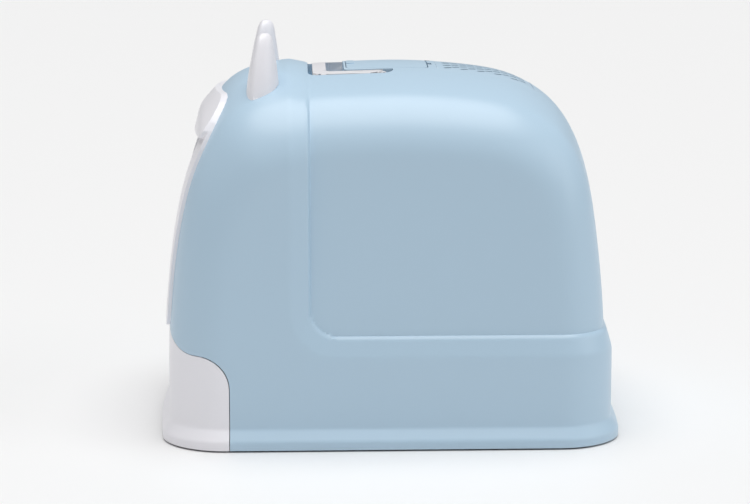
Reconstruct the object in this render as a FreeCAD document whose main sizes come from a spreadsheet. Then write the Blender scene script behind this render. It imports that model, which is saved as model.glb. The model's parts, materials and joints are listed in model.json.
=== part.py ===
import FreeCAD, Part
import math
import os
import Sketcher
from FreeCAD import Rotation, Vector

# Cat litter box with a hood, a swing door, a pull-out litter drawer and a fold-down carry handle.
#
# Millimetres, +Z up, origin on the floor at the middle of the footprint, door towards -Y.
# The hood is a rounded vault: a side profile that is lofted across the box, closed by two drafted
# side walls whose edges are rolled over.  Two such vaults, one a ledge's depth inside the other, make
# the proud front collar and lower band and the recessed rear.

doc = FreeCAD.newDocument("cat_litter_box")
sheet = doc.addObject("Spreadsheet::Sheet", "sizes")

SIZES = {
    # hood shell
    "wall": 3.0,
    "floor_gap": 2.0,
    "collar_half_width": 197.0,
    "collar_draft": 1.2,
    "collar_edge_radius": 58.0,
    "rear_half_width": 190.0,
    "rear_draft": 2.4,
    "rear_edge_radius": 50.0,
    "crown_drop": 57.0,
    "end_bow": 12.0,
    "ledge_height": 122.0,
    "collar_back": -92.0,
    "ledge_corner": 33.0,
    "ledge_slope": 20.0,
    "ledge_cut": 6.0,
    "flange_out": 9.0,
    "flange_top": 24.0,
    "flange_rise": 13.0,
    # drawer front outline
    "seam_back": -178.5,
    "seam_top": 104.0,
    "seam_radius": 36.0,
    "seam_step": 17.0,
    "seam_gap": 0.8,
    # door
    "door_half_width": 104.0,
    "door_sill": 141.0,
    "door_head": 352.0,
    "frame_proud": 4.0,
    "frame_half_width": 134.0,
    "frame_bottom": 123.0,
    "frame_top": 379.0,
    "tunnel_wall": 2.5,
    "tunnel_back": -190.0,
    "hinge_back": -204.0,
    "hinge_height": 346.0,
    "hinge_rod_radius": 2.5,
    "flap_thick": 2.5,
    "flap_gap": 2.6,
    "cover_bottom": 335.0,
    "flap_corner": 31.0,
    # handle
    "handle_half_width": 66.0,
    "handle_bar": 12.0,
    "handle_front": -85.5,
    "grip_width": 15.0,
    "handle_thick": 11.0,
    "pivot_back": -6.0,
    "pivot_height": 396.0,
    "pivot_radius": 3.0,
    "well_half_width": 70.0,
    "well_front": -91.0,
    "well_back": 5.0,
    "well_floor": 383.0,
    "block_wall": 7.0,
    # hatch and vent
    "hatch_half_width": 46.0,
    "hatch_front": -47.0,
    "hatch_back": 44.5,
    "hatch_pin_radius": 1.0,
    "vent_front": 55.0,
    "vent_back": 166.0,
    "vent_pitch": 9.5,
    "slot_long": 11.0,
    "slot_wide": 4.2,
    # drawer and base
    "base_half_width": 193.0,
    "base_corner": 48.0,
    "base_front": -230.0,
    "base_back": 240.0,
    "base_bottom": 4.0,
    "base_thick": 3.0,
    "rail_fence": 180.0,
    "rail_thick": 2.5,
    "rail_fence_top": 30.0,
    "rail_foot": 30.0,
    "rail_front": -222.0,
    "rail_back": 205.0,
    "pan_bottom": 9.8,
    "pan_half_width": 170.0,
    "pan_front": -232.0,
    "pan_back": 218.0,
    "pan_top": 98.0,
    "pan_corner": 26.0,
    "pan_low_corner": 6.0,
    "grate_long": 96.0,
    "grate_thick": 2.6,
    "grate_gap": 7.0,
    "grate_pitch": 14.0,
    "grate_count": 22,
    "pan_wall": 2.5,
    "foot_radius": 10.0,
    "screw_radius": 1.5,
    "screw_head_radius": 3.4,
    "filter_wide": 94.0,
    "filter_thick": 12.0,
    "filter_corner": 5.0,
}

for row, (alias, value) in enumerate(SIZES.items(), start=1):
    sheet.set(f"A{row}", alias)
    sheet.set(f"B{row}", str(value))
    sheet.setAlias(f"B{row}", alias)
doc.recompute()


def size(alias):
    """A driving dimension, read from the sheet."""
    return float(sheet.get(alias))


# Side profiles of the two vaults: (y, z) from the front foot over the top to the rear foot.
COLLAR_PROFILE = [
    (-252, 0), (-252, 70), (-250.5, 125), (-245, 200), (-236, 260), (-222, 315), (-203, 358),
    (-180, 388), (-150, 403), (-113, 409.5), (0, 416), (90, 411), (180, 383), (234, 305),
    (249, 210), (252, 100), (252, 0),
]
REAR_PROFILE = [
    (-241, 0), (-241, 70), (-239, 125), (-233, 200), (-223, 260), (-207, 315), (-187, 350),
    (-155, 381), (-105, 402), (-50, 406.5), (5, 408), (60, 406), (100, 402), (137, 394.5),
    (165, 382), (190, 363), (209, 337), (222, 304), (231, 256), (237, 205), (241.5, 150),
    (243, 110), (243.5, 0),
]
BELOW = -40.0
ABOVE = 480.0
WIDE = 260.0
SECTIONS = (-240.0, -120.0, 0.0, 120.0, 240.0)
CROWN_AT = 200.0


def moved_in(points, depth):
    """The profile moved inwards by depth, along its own normals."""
    out = []
    for i, (y, z) in enumerate(points):
        y0, z0 = points[max(i - 1, 0)]
        y1, z1 = points[min(i + 1, len(points) - 1)]
        run = math.hypot(y1 - y0, z1 - z0)
        out.append((y + depth * (z1 - z0) / run, z - depth * (y1 - y0) / run))
    return out


def section(points, x):
    """The closed side profile at x, smaller towards the sides by the crown and the bow."""
    share = (x / CROWN_AT) ** 2
    flat = 1 - size("end_bow") * share / 250
    low = 1 - size("crown_drop") * share / 408
    vectors = [Vector(x, y * flat, z * low) for y, z in points]
    spline = Part.BSplineCurve()
    spline.interpolate(Points=vectors, InitialTangent=Vector(0, 0, 1), FinalTangent=Vector(0, 0, -1))
    first, last = vectors[0], vectors[-1]
    under_first = Vector(x, first.y, BELOW)
    under_last = Vector(x, last.y, BELOW)
    return Part.Wire([
        Part.LineSegment(under_first, first).toShape(),
        spline.toShape(),
        Part.LineSegment(last, under_last).toShape(),
        Part.LineSegment(under_last, under_first).toShape(),
    ])


def vault(points, depth=0.0):
    """The profile lofted right across the box, with no side walls yet."""
    inner = moved_in(points, depth)
    return Part.makeLoft([section(inner, x) for x in SECTIONS], True, False)


def only_solid(shape):
    """The one solid in a boolean's result."""
    return shape.Solids[0] if len(shape.Solids) == 1 else shape


def rolled_vault(points, half_width, draft, radius, depth=0.0):
    """The vault closed by drafted side walls, with its edges rolled over by radius."""
    lean = math.tan(math.radians(draft))
    low = half_width - depth - lean * BELOW
    high = half_width - depth - lean * ABOVE
    corners = [(-low, BELOW), (low, BELOW), (high, ABOVE), (-high, ABOVE), (-low, BELOW)]
    outline = Part.makePolygon([Vector(x, -400, z) for x, z in corners])
    walls = Part.Face(outline).extrude(Vector(0, 800, 0))
    body = only_solid(vault(points, depth).common(walls))
    edges = []
    for edge in body.Edges:
        middle = edge.valueAt((edge.FirstParameter + edge.LastParameter) / 2)
        on_wall = abs(abs(middle.x) - (half_width - depth - lean * middle.z)) < 1.0
        if on_wall and edge.BoundBox.ZMax > BELOW + 1:
            edges.append(edge)
    return only_solid(body.makeFillet(radius - depth, edges))


def collar_vault(depth=0.0):
    return rolled_vault(COLLAR_PROFILE, size("collar_half_width"), size("collar_draft"),
                        size("collar_edge_radius"), depth)


def rear_vault(depth=0.0):
    return rolled_vault(REAR_PROFILE, size("rear_half_width"), size("rear_draft"),
                        size("rear_edge_radius"), depth)


def face_of(points_and_arcs):
    """A planar face from a list of lines and arcs."""
    return Part.Face(Part.Wire([edge.toShape() for edge in points_and_arcs]))


def slab(z0, z1):
    return Part.makeBox(2 * WIDE, 4 * WIDE, z1 - z0, Vector(-WIDE, -2 * WIDE, z0))


def proud_region(depth=0.0):
    """Collar and lower band: what lies in front of the collar's back edge or under the ledge."""
    back = size("collar_back") - depth
    top = size("ledge_height") - depth
    r = size("ledge_corner")
    x = -WIDE
    half = r * math.sqrt(0.5)
    start = Vector(x, back + r, top)
    middle = Vector(x, back + r - half, top + r - half)
    end = Vector(x, back, top + r)
    corners = [Vector(x, back, ABOVE), Vector(x, -400, ABOVE), Vector(x, -400, -60),
               Vector(x, 400, -60), Vector(x, 400, top), start]
    edges = [Part.Arc(start, middle, end), Part.LineSegment(end, corners[0])]
    edges += [Part.LineSegment(a, b) for a, b in zip(corners, corners[1:])]
    return face_of(edges).extrude(Vector(2 * WIDE, 0, 0))


def near_step(point, depth):
    """True where a point lies on the side of the step between the collar and the rear."""
    back = size("collar_back") - depth
    top = size("ledge_height") - depth
    r = size("ledge_corner")
    if point.z > top + r - 1:
        return abs(point.y - back) < 0.05
    if point.y > back + r - 1:
        return abs(point.z - top) < 0.05
    return abs(math.hypot(point.y - back - r, point.z - top - r) - r) < 0.05


def stepped_body(rear, collar, depth=0.0):
    """Rear vault joined to the proud region of the collar vault, with the step sloped."""
    proud = collar.common(proud_region(depth))
    body = only_solid(rear.fuse(proud)).removeSplitter()
    edges = []
    for edge in body.Edges:
        span = edge.LastParameter - edge.FirstParameter
        spots = [edge.valueAt(edge.FirstParameter + span * k) for k in (0.25, 0.5, 0.75)]
        if all(near_step(p, depth) for p in spots):
            gap = rear.distToShape(Part.Vertex(spots[1]))[0]
            if gap > 4:
                edges.append(edge)
    return only_solid(body.makeChamfer(size("ledge_slope"), size("ledge_cut"), edges))


def flange(depth=0.0):
    """The flared foot that runs round the whole outline."""
    top = size("flange_top") - depth
    ring = only_solid(collar_vault(depth - size("flange_out")).common(slab(-20, top)))
    edges = [e for e in ring.Edges if e.BoundBox.ZMin > top - 0.01]
    return only_solid(ring.makeChamfer(size("flange_rise"), size("flange_out"), edges))


def prism_y(outline, y0, y1):
    """A face drawn at y = 0 in the XZ plane, extruded from y0 to y1."""
    moved = outline.copy()
    moved.translate(Vector(0, y0, 0))
    return moved.extrude(Vector(0, y1 - y0, 0))


def rounded_outline(half_width, low, high, r_low, r_high, centre=0.0):
    """A rounded rectangle in the XZ plane, as a face."""
    x0, x1 = centre - half_width, centre + half_width
    corners = [(x1, low, r_low, 1, -1), (x1, high, r_high, 1, 1),
               (x0, high, r_high, -1, 1), (x0, low, r_low, -1, -1)]
    arcs = []
    for x, z, r, sx, sz in corners:
        cx, cz = x - sx * r, z - sz * r
        half = r * math.sqrt(0.5)
        along_x = Vector(x, 0, cz)
        along_z = Vector(cx, 0, z)
        start, end = (along_z, along_x) if sx * sz < 0 else (along_x, along_z)
        arcs.append(Part.Arc(start, Vector(cx + sx * half, 0, cz + sz * half), end))
    edges = []
    for arc, following in zip(arcs, arcs[1:] + arcs[:1]):
        edges += [arc, Part.LineSegment(arc.EndPoint, following.StartPoint)]
    return face_of(edges)


def prism_z(half_width, y0, y1, z0, z1, r=4.0):
    """A rounded rectangle in plan, extruded upwards."""
    outline = rounded_outline(half_width, y0, y1, r, r)
    outline.rotate(Vector(0, 0, 0), Vector(1, 0, 0), -90)
    outline.translate(Vector(0, 0, z0))
    return outline.extrude(Vector(0, 0, z1 - z0))


def drawer_front_region(gap=0.0):
    """The lower front of the shell, which goes with the drawer."""
    back = size("seam_back") - gap
    top = size("seam_top") - gap
    r = size("seam_radius")
    x = -WIDE
    half = r * math.sqrt(0.5)
    start = Vector(x, back, top - r)
    middle = Vector(x, back - r + half, top - r + half)
    end = Vector(x, back - r, top)
    corners = [Vector(x, -400, top), Vector(x, -400, -60), Vector(x, back, -60), start]
    edges = [Part.Arc(start, middle, end), Part.LineSegment(end, corners[0])]
    edges += [Part.LineSegment(a, b) for a, b in zip(corners, corners[1:])]
    side = face_of(edges).extrude(Vector(2 * WIDE, 0, 0))
    raised = size("frame_half_width") - 6 - gap
    rise = size("seam_step")
    slope = 18
    outline = [(-raised - slope, top - 8), (raised + slope, top - 8), (raised + slope, top),
               (raised, top + rise), (-raised, top + rise), (-raised - slope, top),
               (-raised - slope, top - 8)]
    tongue = Part.Face(Part.makePolygon([Vector(px, 0, pz) for px, pz in outline]))
    return side.fuse(prism_y(tongue, -400, -212))


def node(label, shape):
    """A finished sub-part whose surface no parametric feature makes."""
    feature = doc.addObject("Part::Feature", label)
    feature.Label = label
    feature.Shape = shape
    return feature


def cylinder_x(radius, x0, x1, y, z):
    return Part.makeCylinder(radius, x1 - x0, Vector(x0, y, z), Vector(1, 0, 0))


def cylinder_y(radius, y0, y1, x, z):
    return Part.makeCylinder(radius, y1 - y0, Vector(x, y0, z), Vector(0, 1, 0))


def cylinder_z(radius, z0, z1, x, y):
    return Part.makeCylinder(radius, z1 - z0, Vector(x, y, z0))


def box(x0, x1, y0, y1, z0, z1):
    return Part.makeBox(x1 - x0, y1 - y0, z1 - z0, Vector(x0, y0, z0))


def slot_places(half_width, y0, y1, pitch_x, pitch_y):
    """Staggered places for the vent slots."""
    rows = int((y1 - y0) / pitch_y)
    columns = int(2 * half_width / pitch_x)
    spots = []
    for row in range(rows):
        shift = pitch_x / 4 if row % 2 else -pitch_x / 4
        y = (y0 + y1) / 2 + (row - (rows - 1) / 2) * pitch_y
        for column in range(columns):
            spots.append(((column - (columns - 1) / 2) * pitch_x + shift, y))
    return spots


# --- PartDesign helpers -------------------------------------------------------------------------

def body_of(label):
    """A PartDesign body that carries the sub-part's name."""
    body = doc.addObject("PartDesign::Body", label)
    body.Label = label
    return body


def plane_of(body, role):
    return next(f for f in body.Origin.OriginFeatures if f.Role == role)


def rectangle(body, name, role, width, height, across="0", up="0", offset="0"):
    """A rectangle bound to the sheet: width and height, the place of its centre, and its plane's
    offset along the plane's normal.  Each is an expression."""
    sketch = body.newObject("Sketcher::SketchObject", name)
    sketch.AttachmentSupport = [(plane_of(body, role), "")]
    sketch.MapMode = "FlatFace"
    sketch.setExpression(".AttachmentOffset.Base.z", offset)
    corners = [Vector(-1, -1, 0), Vector(1, -1, 0), Vector(1, 1, 0), Vector(-1, 1, 0)]
    for a, b in zip(corners, corners[1:] + corners[:1]):
        sketch.addGeometry(Part.LineSegment(a, b), False)
    for line in range(4):
        sketch.addConstraint(Sketcher.Constraint("Coincident", line, 2, (line + 1) % 4, 1))
    for line in (0, 2):
        sketch.addConstraint(Sketcher.Constraint("Horizontal", line))
    for line in (1, 3):
        sketch.addConstraint(Sketcher.Constraint("Vertical", line))
    sizes = [("width", Sketcher.Constraint("DistanceX", 0, 1, 0, 2, 2.0), width),
             ("height", Sketcher.Constraint("DistanceY", 1, 1, 1, 2, 2.0), height),
             ("left", Sketcher.Constraint("DistanceX", -1, 1, 0, 1, -1.0), f"{across} - {width} / 2"),
             ("low", Sketcher.Constraint("DistanceY", -1, 1, 0, 1, -1.0), f"{up} - {height} / 2")]
    for word, constraint, expression in sizes:
        index = sketch.addConstraint(constraint)
        sketch.renameConstraint(index, word)
        sketch.setExpression(f"Constraints.{word}", expression)
    return sketch


def pad(body, sketch, length, down=False):
    """Pads a sketch by an expression, along its normal or against it."""
    feature = body.newObject("PartDesign::Pad", sketch.Name + "_pad")
    feature.Profile = sketch
    feature.setExpression("Length", length)
    feature.Reversed = down
    return feature


def pocket(body, sketch, length, down=True):
    """Cuts a sketch into its body by an expression."""
    feature = body.newObject("PartDesign::Pocket", sketch.Name + "_pocket")
    feature.Profile = sketch
    feature.setExpression("Length", length)
    feature.Reversed = not down
    return feature


def edge_names(shape, test):
    """The names of the edges whose middle and direction pass a test."""
    names = []
    for index, edge in enumerate(shape.Edges, start=1):
        start, end = edge.valueAt(edge.FirstParameter), edge.valueAt(edge.LastParameter)
        if test((start + end) * 0.5, end - start):
            names.append(f"Edge{index}")
    return names


def round_edges(body, base, radius, test):
    """A PartDesign fillet on the base feature's chosen edges."""
    doc.recompute()
    feature = body.newObject("PartDesign::Fillet", base.Name + "_round")
    feature.Base = (base, edge_names(base.Shape, test))
    feature.setExpression("Radius", radius)
    return feature


def upright(middle, run):
    return abs(run.x) < 0.01 and abs(run.y) < 0.01


def circles(body, name, role, radius, spots, offset="0"):
    """Circles of one bound radius at the given places of a plane."""
    sketch = body.newObject("Sketcher::SketchObject", name)
    sketch.AttachmentSupport = [(plane_of(body, role), "")]
    sketch.MapMode = "FlatFace"
    sketch.setExpression(".AttachmentOffset.Base.z", offset)
    for number, (across, up) in enumerate(spots):
        place = Vector(across, up, 0)
        sketch.addGeometry(Part.Circle(place, Vector(0, 0, 1), 1.0), False)
        index = sketch.addConstraint(Sketcher.Constraint("Radius", number, 1.0))
        sketch.renameConstraint(index, f"radius{number}")
        sketch.setExpression(f"Constraints.radius{number}", radius)
        sketch.addConstraint(Sketcher.Constraint("DistanceX", -1, 1, number, 3, across))
        sketch.addConstraint(Sketcher.Constraint("DistanceY", -1, 1, number, 3, up))
    return sketch


def primitive(kind, name, **expressions):
    """A Part primitive whose sizes and place are expressions."""
    shape = doc.addObject(f"Part::{kind}", name)
    for prop, expression in expressions.items():
        target = f"Placement.Base.{prop[-1]}" if prop in ("at_x", "at_y", "at_z") else prop
        shape.setExpression(target, expression)
    return shape


# --- Hood ---------------------------------------------------------------------------------------

WELL = dict(front=size("well_front"), back=size("well_back"), floor=size("well_floor"))
RIB = size("hatch_half_width") + 6.0
POST_X = 187.0
POST_YS = (-150.0, 30.0, 205.0)
POST_TOP = 34.0
BOSS_XS = (-115.0, 115.0)
BOSS_ZS = (32.0, 78.0)


def whole_form(depth):
    """The whole outline of the box, depth inside the outer skin."""
    bottom = size("floor_gap") if depth == 0 else BELOW
    stepped = stepped_body(rear_vault(depth), collar_vault(depth), depth)
    return only_solid(stepped.fuse(flange(depth)).common(slab(bottom, ABOVE)))


BROW_PROFILE = [
    (-252, 0), (-252, 70), (-251, 125), (-245, 200), (-237, 260), (-227, 310), (-221.2, 331),
    (-217.5, 345), (-213.9, 357.5), (-203.5, 371.5), (-184, 391), (-150, 409),
    (-113, 417), (0, 424), (90, 419), (180, 391), (234, 311), (249, 210), (252, 100), (252, 0),
]

outer = whole_form(0.0)
hollow = whole_form(size("wall"))

block_wall = size("block_wall")
handle_block = box(-size("well_half_width") - 3, size("well_half_width") + 3, WELL["front"] - 3,
                   WELL["back"] + block_wall, WELL["floor"] - 3, ABOVE)
hatch_block = box(-RIB, RIB, WELL["front"], size("hatch_back") + 7.5, 394, ABOVE)
posts = [cylinder_z(6.0, size("base_bottom") + size("base_thick"), POST_TOP, side * POST_X, y)
         for side in (-1, 1) for y in POST_YS]
webs = [box(min(side * POST_X, side * 206), max(side * POST_X, side * 206), y - 1.5, y + 1.5,
            size("base_bottom") + size("base_thick"), POST_TOP - 4)
        for side in (-1, 1) for y in POST_YS]
hollow_of_hood = hollow.cut([handle_block, hatch_block] + posts + webs)
bosses = [cylinder_y(6.0, -300, size("pan_front"), x, z) for x in BOSS_XS for z in BOSS_ZS]
hollow_of_drawer = hollow.cut(bosses)

region = drawer_front_region(0.0)
opening_high = size("door_head")
opening_low = size("door_sill")
tunnel = size("tunnel_wall")


def door_outline(grow):
    return rounded_outline(size("door_half_width") + grow, opening_low - grow, opening_high + grow,
                           34 + grow, 10 + grow)


def handle_plan(gap):
    """Plan of the recess round the handle: a U with its closed end to the front."""
    wide = size("well_half_width")
    front = prism_z(wide, WELL["front"], WELL["back"], WELL["floor"], ABOVE, 14)
    island = prism_z(RIB + gap, -50, 60, WELL["floor"], ABOVE, 5)
    return front.cut(island)


REAR_CLEARANCE = 1.3    # the hatch's rear edge swings back over the hinge


def hatch_opening():
    """Through opening under the hatch, with the rim that the hatch lies on."""
    wide = size("hatch_half_width")
    seat = prism_z(wide + 0.5, size("hatch_front") - 0.5, size("hatch_back") + REAR_CLEARANCE, 380, ABOVE, 7)
    seat = seat.cut(vault(REAR_PROFILE, size("wall") + 0.3))
    through = prism_z(wide - 3, size("hatch_front") + 3, size("hatch_back") - 3, 340, ABOVE, 4)
    return [seat, through]


HATCH_AXIS = (size("hatch_back") + 3.2, 404.3)
KNUCKLES = (-18.0, 18.0)
KNUCKLE_HALF = 6.0
KNUCKLE_RADIUS = 2.2


def knuckle_room():
    """Pockets in the hood for the hatch's hinge knuckles."""
    y, z = HATCH_AXIS
    half = KNUCKLE_HALF + 0.4
    reach = KNUCKLE_RADIUS + 0.4
    return [box(x - half, x + half, y - reach - 3, y + reach, z - reach, ABOVE) for x in KNUCKLES]


VENT_HALF = 50.0


def vent_plan(grow, low=300.0):
    return prism_z(VENT_HALF + grow, size("vent_front") - grow, size("vent_back") + grow,
                   low, ABOVE, 8 + grow)


screw_holes = [cylinder_z(1.6, 0, POST_TOP - 6, side * POST_X, y)
               for side in (-1, 1) for y in POST_YS]
pivot_z = size("pivot_height")
pivot_y = size("pivot_back")
pivot_hole = cylinder_x(size("pivot_radius") + 0.02, -size("well_half_width") - 2,
                        size("well_half_width") + 2, pivot_y, pivot_z)
pivot_hole = pivot_hole.cut(box(-RIB + 4.5, RIB - 4.5, -20, 20, 380, 420))
hatch_hole = cylinder_x(size("hatch_pin_radius") + 0.02, -28, 28, *HATCH_AXIS)

hood = only_solid(outer.cut(hollow_of_hood))
hood = only_solid(hood.cut([region, prism_y(door_outline(tunnel + 0.2), -400, -150)]))
hood = only_solid(hood.cut([handle_plan(0), vent_plan(0.0)] + hatch_opening() + knuckle_room()))
hood = only_solid(hood.cut(screw_holes + [pivot_hole, hatch_hole]))
node("hood_shell", hood)

# Drawer front: the lower front of the same form, with a finger pull.
PULL = dict(half=48.0, low=58.0, high=84.0, depth=13.0)
pull_outline = rounded_outline(PULL["half"], PULL["low"], PULL["high"], 9, 9)
drawer_front = outer.cut(hollow_of_drawer).common(drawer_front_region(size("seam_gap")))
drawer_front = only_solid(drawer_front)
drawer_front = drawer_front.cut([prism_y(pull_outline, -400, -235)]
                                + [cylinder_y(1.6, -246, -220, x, z) for x in BOSS_XS for z in BOSS_ZS])
node("drawer_front", only_solid(drawer_front))

pull_back = -249.0 + PULL["depth"]
cup_outline = rounded_outline(PULL["half"] + 2, PULL["low"] - 2, PULL["high"] + 2, 11, 11)
cup = prism_y(cup_outline, -270, pull_back).cut(prism_y(pull_outline, -270, pull_back - 2))
cup = cup.common(vault(COLLAR_PROFILE, size("wall")))
node("pull_cup", only_solid(cup))

# Door frame: a skin on the front of the hood and the tunnel that the flap hangs in.
frame_outline = rounded_outline(size("frame_half_width"), size("frame_bottom"), size("frame_top"), 30, 66)
proud = vault(COLLAR_PROFILE, -size("frame_proud"))
frame = only_solid(prism_y(frame_outline, -400, size("tunnel_back")).common(proud))
inside = vault(COLLAR_PROFILE, 0.0).cut(prism_y(door_outline(tunnel), -400, 0))
frame = only_solid(frame.cut([inside, prism_y(door_outline(0), -400, 0)]))
hinge_y, hinge_z = size("hinge_back"), size("hinge_height")
rod_hole = cylinder_x(size("hinge_rod_radius") + 0.02, -107, 107, hinge_y, hinge_z)
frame = only_solid(frame.cut(rod_hole))
node("door_frame", frame)

# Hinge cover: the brow across the top of the frame, fading into it below its corner.
BARREL_WALL = 2.1
FLAP_OUTWARD = 30.0
cover_outline = frame_outline.common(Part.makeBox(2 * WIDE, 2, 60, Vector(-WIDE, -1, size("cover_bottom"))))
cover = prism_y(cover_outline, -400, -170).common(vault(BROW_PROFILE))
cover = only_solid(only_solid(cover).cut(proud))


def swing_room():
    """Room behind the hinge cover for the flap's barrel and its plate when it swings outwards."""
    half = size("door_half_width")
    barrel_room = cylinder_x(size("hinge_rod_radius") + BARREL_WALL + 0.6, -half - 4, half + 4, hinge_y, hinge_z)
    outward = math.radians(FLAP_OUTWARD + 1)
    ahead = (size("flap_thick") / 2 + 0.5) / math.cos(outward)
    drop = hinge_z - size("cover_bottom") + 2
    wedge = [Vector(-half, hinge_y + 4, hinge_z), Vector(-half, hinge_y - ahead, hinge_z),
             Vector(-half, hinge_y - ahead - drop * math.tan(outward), hinge_z - drop),
             Vector(-half, hinge_y + 4, hinge_z - drop)]
    plate_room = Part.Face(Part.makePolygon(wedge + wedge[:1])).extrude(Vector(2 * half, 0, 0))
    return [barrel_room, plate_room]


node("hinge_cover", only_solid(cover.cut(swing_room())))

# Vent panel, its filter basket, and the hatch: pieces of the rear vault's own skin.
skin_in = vault(REAR_PROFILE, size("wall"))
skin_out = vault(REAR_PROFILE, 0.0)
panel = only_solid(vent_plan(-0.3).common(skin_out).cut(skin_in))
slot_outline = rounded_outline(size("slot_wide") / 2, -size("slot_long") / 2, size("slot_long") / 2,
                               size("slot_wide") / 2 - 0.01, size("slot_wide") / 2 - 0.01)
slot_outline.rotate(Vector(0, 0, 0), Vector(1, 0, 0), -90)
slot_outline.rotate(Vector(0, 0, 0), Vector(0, 0, 1), 35)
slots = []
for x, y in slot_places(VENT_HALF - 7, size("vent_front") + 5, size("vent_back") - 5, 14.5,
                           size("vent_pitch")):
    slot = slot_outline.copy()
    slot.translate(Vector(x, y, 300))
    slots.append(slot.extrude(Vector(0, 0, 150)))
node("vent_panel", only_solid(panel.cut(slots)))

BASKET_FLOOR = 344.0
basket = prism_z(VENT_HALF + 5, size("vent_front") - 2, size("vent_back") + 5, BASKET_FLOOR, ABOVE, 8)
basket = basket.common(skin_in)
under = vault(REAR_PROFILE, size("wall") + 2).cut(
    prism_z(VENT_HALF - 0.5, size("vent_front") + 0.5, size("vent_back") - 0.5, 300, ABOVE, 6))
chamber = prism_z(VENT_HALF - 2.5, size("vent_front") + 2.5, size("vent_back") - 2.5,
                  BASKET_FLOOR + 2, ABOVE, 5)
air_slots = [box(-VENT_HALF + 8, VENT_HALF - 8, y - 2.5, y + 2.5, 300, 360)
             for y in (70, 84, 98, 112, 126, 140, 154)]
front_gate = box(-VENT_HALF + 4, VENT_HALF - 4, 40, size("vent_front") + 4, BASKET_FLOOR + 14, 378)
basket = only_solid(basket.cut([under, chamber, front_gate] + air_slots))
node("filter_basket", basket)

lid_plan = prism_z(size("hatch_half_width"), size("hatch_front"), size("hatch_back"), 380, ABOVE, 6.5)
tab_plan = prism_z(17, size("hatch_front") + 0.6, size("hatch_front") + 9, 380, ABOVE, 4)
lid = lid_plan.common(skin_out).fuse(tab_plan.common(vault(REAR_PROFILE, -2.2)))
lid = only_solid(lid.cut(skin_in))
axis_y, axis_z = HATCH_AXIS
arms = []
for x in KNUCKLES:
    barrel = cylinder_x(KNUCKLE_RADIUS, x - KNUCKLE_HALF, x + KNUCKLE_HALF, axis_y, axis_z)
    arm = box(x - KNUCKLE_HALF, x + KNUCKLE_HALF, axis_y - 8, axis_y, axis_z - 0.4, axis_z + 1.2)
    arms += [barrel, arm]
lid = only_solid(lid.fuse(arms).cut(cylinder_x(size("hatch_pin_radius") + 0.08, -60, 60, axis_y, axis_z)))
node("top_hatch", lid)


# Ears: (height, front, back, half width) of each level of the horn, narrowing to a rounded tip.
EAR_MIDDLE = 100.0
EAR_LEVELS = [(355, -161.5, -120.5, 35.0), (380, -159.5, -122.0, 31.0), (405, -156.4, -124.4, 25.5),
              (424, -152.4, -127.0, 19.5), (437, -149.2, -129.0, 14.0), (444.5, -146.2, -131.4, 9.0),
              (448, -142.0, -135.6, 4.0)]
EAR_FACE = 0.24     # share of the ear's depth that lies ahead of its widest line


def ear(side):
    """A cat's ear: a flat-faced horn with a round back, trimmed to the hood."""
    rings = []
    for z, front, back, half in EAR_LEVELS:
        depth = back - front
        widest = front + EAR_FACE * depth
        points = []
        for step in range(16):
            turn = 2 * math.pi * step / 16
            reach = EAR_FACE if math.sin(turn) < 0 else 1 - EAR_FACE
            points.append(Vector(side * EAR_MIDDLE + half * math.cos(turn),
                                 widest + reach * depth * math.sin(turn), z))
        ring = Part.BSplineCurve()
        ring.interpolate(Points=points, PeriodicFlag=True)
        rings.append(Part.Wire(ring.toShape()))
    horn = Part.makeLoft(rings, True, False)
    return only_solid(horn.cut(outer))


for side, word in ((-1, "left"), (1, "right")):
    node(f"ear_{word}", ear(side))


# Handle: a U-shaped bail, its crossbar to the front and its arms on two pivots.
def bail():
    wide, bar = size("handle_half_width"), size("handle_bar")
    front, grip = size("handle_front"), size("grip_width")
    half = size("handle_thick") / 2
    low, high = pivot_z - half, pivot_z + half
    plan = prism_z(wide, front, pivot_y, low, high + 8, 16)
    inner = prism_z(wide - bar, front + grip, 60, 300, ABOVE, 6)
    ends = [cylinder_x(half, side * (wide - bar / 2) - bar / 2,
                       side * (wide - bar / 2) + bar / 2, pivot_y, pivot_z)
            for side in (-1, 1)]
    keep = vault(REAR_PROFILE, 0.6)
    body = plan.common(keep).cut(inner)
    body = body.cut(box(-WIDE, WIDE, pivot_y - 0.5, 60, high - 3, ABOVE))
    body = body.fuse(ends)
    holes = cylinder_x(size("pivot_radius") + 0.08, -WIDE, WIDE, pivot_y, pivot_z)
    return only_solid(body.cut(holes))


node("carry_handle", bail())


# --- Base, feet, rails and drawer ---------------------------------------------------------------

BASE_MID = "(sizes.base_front + sizes.base_back) / 2"
BASE_LONG = "(sizes.base_back - sizes.base_front)"
BASE_TOP = "(sizes.base_bottom + sizes.base_thick)"
POST_SPOTS = [(side * POST_X, y) for side in (-1, 1) for y in POST_YS]

base = body_of("base_plate")
plate = rectangle(base, "base_outline", "XY_Plane", "(sizes.base_half_width * 2)", BASE_LONG,
                  up=BASE_MID, offset="sizes.base_bottom")
plate_pad = pad(base, plate, "sizes.base_thick")
round_edges(base, plate_pad, "sizes.base_corner", upright)
holes = circles(base, "base_holes", "XY_Plane", "sizes.screw_radius + 0.1", POST_SPOTS, BASE_TOP)
pocket(base, holes, "sizes.base_thick")

FOOT_SPOTS = {"front": -195.0, "rear": 205.0}
for row, y in FOOT_SPOTS.items():
    for side, word in ((-1, "left"), (1, "right")):
        foot = primitive("Cone", f"foot_{row}_{word}", Radius1="sizes.foot_radius - 1",
                         Radius2="sizes.foot_radius", Height="sizes.base_bottom")
        foot.Placement.Base = Vector(side * 160, y, 0)

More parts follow.
